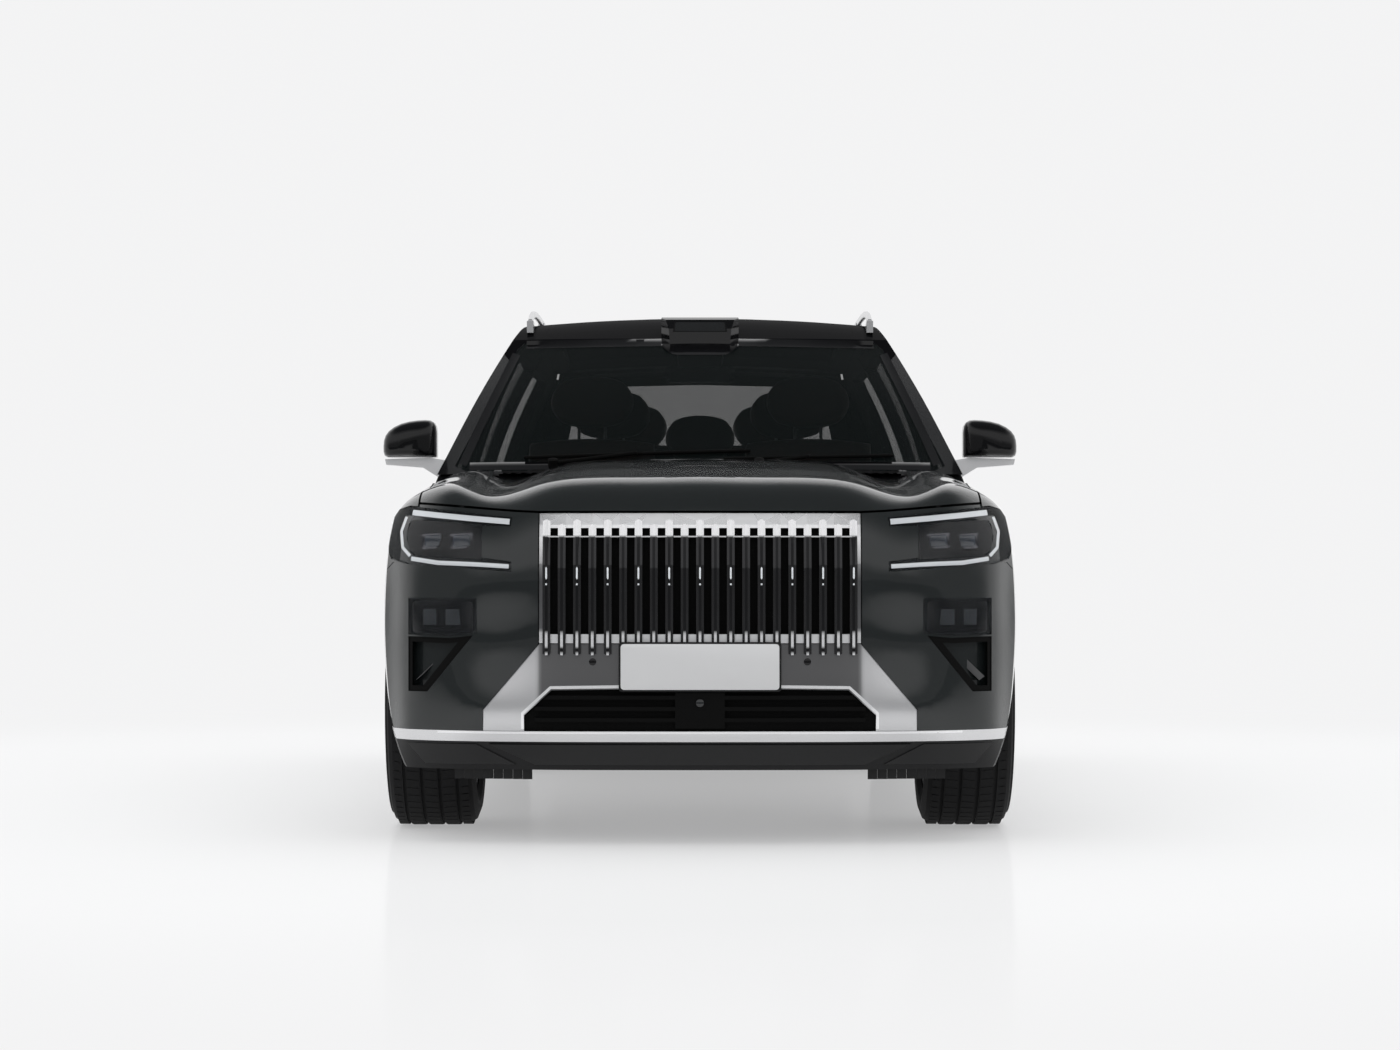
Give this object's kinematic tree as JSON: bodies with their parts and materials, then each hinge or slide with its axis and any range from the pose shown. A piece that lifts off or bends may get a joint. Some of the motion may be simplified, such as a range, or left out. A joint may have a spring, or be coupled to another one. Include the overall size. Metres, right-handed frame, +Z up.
{
  "type": "large crossover",
  "caption": "Large four-door crossover with an upright barred grille, hinged doors, bonnet and tailgate, steered front wheels and a furnished cabin.",
  "frame": {"origin": "on the ground under the middle of the car", "axes": "+Z up, nose along -Y, +X to the car's left side"},
  "size_m": [2.1976, 5.2415, 1.8223],
  "materials": {
    "body_paint": "metallic graphite clear coat",
    "gloss_black": "gloss black",
    "satin_silver": "satin silver paint",
    "chrome": "polished",
    "black_plastic": "fine grain",
    "tinted_glass": "clear dark tint",
    "roof_glass": "black tint",
    "lamp_glass": "clear lens",
    "tail_red": "red lens",
    "tyre_rubber": "matt",
    "rim_alloy": "machined and painted",
    "cast_metal": "as cast",
    "suspension_metal": "black paint",
    "dash_trim": "stitched dark leather",
    "seat_leather": "dark red-brown hide"
  },
  "bodies": {
    "body": {"body_shell": "body_paint", "roof_glass": "roof_glass", "fixed_glass": "tinted_glass", "front_fenders": "body_paint", "front_bumper": "body_paint", "lower_cladding": "black_plastic", "bright_trim": "chrome", "grille_surround": "satin_silver", "grille_bars": "chrome", "intake_grille": "black_plastic", "front_lamps": "lamp_glass", "side_tail_lamps": "tail_red", "sensor_pod": "gloss_black", "rear_bumper": "body_paint", "powertrain_blocks": "cast_metal", "front_subframe": "suspension_metal", "rear_subframe": "suspension_metal", "dashboard": "dash_trim", "front_seats": "seat_leather", "rear_seats": "seat_leather"},
    "bonnet": {"bonnet": "body_paint"},
    "tailgate": {"tailgate": "body_paint", "tailgate_glass": "tinted_glass", "tail_lamp": "tail_red"},
    "steering_wheel": {"steering_wheel": "dash_trim"},
    "door_front_left": {"door_front_left": "body_paint", "door_front_glass_left": "tinted_glass", "mirror_left": "gloss_black"},
    "door_rear_left": {"door_rear_left": "body_paint", "door_rear_glass_left": "tinted_glass"},
    "knuckle_left": {"knuckle_left": "cast_metal"},
    "wheel_front_left": {"tyre_front_left": "tyre_rubber", "rim_front_left": "rim_alloy"},
    "wheel_rear_left": {"tyre_rear_left": "tyre_rubber", "rim_rear_left": "rim_alloy"},
    "door_front_right": {"door_front_right": "body_paint", "door_front_glass_right": "tinted_glass", "mirror_right": "gloss_black"},
    "door_rear_right": {"door_rear_right": "body_paint", "door_rear_glass_right": "tinted_glass"},
    "knuckle_right": {"knuckle_right": "cast_metal"},
    "wheel_front_right": {"tyre_front_right": "tyre_rubber", "rim_front_right": "rim_alloy"},
    "wheel_rear_right": {"tyre_rear_right": "tyre_rubber", "rim_rear_right": "rim_alloy"}
  },
  "joints": [
    {"name": "bonnet_lift", "type": "hinge", "parent": "body", "child": "bonnet", "pos_m": [0, -1.262, 1.15], "axis": [-1, 0, 0], "range_deg": [0, 50]},
    {"name": "tailgate_lift", "type": "hinge", "parent": "body", "child": "tailgate", "pos_m": [0, 2.12, 1.7], "axis": [1, 0, 0], "range_deg": [0, 80]},
    {"name": "door_front_left_swing", "type": "hinge", "parent": "body", "child": "door_front_left", "pos_m": [0.98247, -1.13, 0.64], "axis": [0, 0, -1], "range_deg": [0, 66]},
    {"name": "door_rear_left_swing", "type": "hinge", "parent": "body", "child": "door_rear_left", "pos_m": [0.97477, 0, 0.64], "axis": [0, 0, -1], "range_deg": [0, 66]},
    {"name": "door_front_right_swing", "type": "hinge", "parent": "body", "child": "door_front_right", "pos_m": [-0.98247, -1.13, 0.64], "axis": [0, 0, 1], "range_deg": [0, 66]},
    {"name": "door_rear_right_swing", "type": "hinge", "parent": "body", "child": "door_rear_right", "pos_m": [-0.97477, 0, 0.64], "axis": [0, 0, 1], "range_deg": [0, 66]},
    {"name": "steer_left", "type": "hinge", "parent": "body", "child": "knuckle_left", "pos_m": [0.76, -1.69, 0.393], "axis": [0, 0, 1], "range_deg": [-33, 33]},
    {"name": "steer_right", "type": "hinge", "parent": "body", "child": "knuckle_right", "pos_m": [-0.76, -1.69, 0.393], "axis": [0, 0, 1], "range_deg": [-33, 33]},
    {"name": "steering_wheel_turn", "type": "hinge", "parent": "body", "child": "steering_wheel", "pos_m": [0.37, -0.668, 1.034], "axis": [0, 0.9272, 0.3746], "range_deg": [-462, 462]},
    {"name": "wheel_front_left_spin", "type": "hinge", "parent": "knuckle_left", "child": "wheel_front_left", "pos_m": [0.8575, -1.69, 0.393], "axis": [1, 0, 0], "continuous": true},
    {"name": "wheel_rear_left_spin", "type": "hinge", "parent": "body", "child": "wheel_rear_left", "pos_m": [0.8575, 1.479, 0.393], "axis": [1, 0, 0], "continuous": true},
    {"name": "wheel_front_right_spin", "type": "hinge", "parent": "knuckle_right", "child": "wheel_front_right", "pos_m": [-0.8575, -1.69, 0.393], "axis": [1, 0, 0], "continuous": true},
    {"name": "wheel_rear_right_spin", "type": "hinge", "parent": "body", "child": "wheel_rear_right", "pos_m": [-0.8575, 1.479, 0.393], "axis": [1, 0, 0], "continuous": true}
  ],
  "couplings": [
    {"joint": "steer_right", "follows": "steer_left", "ratio": 1},
    {"joint": "steering_wheel_turn", "follows": "steer_left", "ratio": 14}
  ]
}
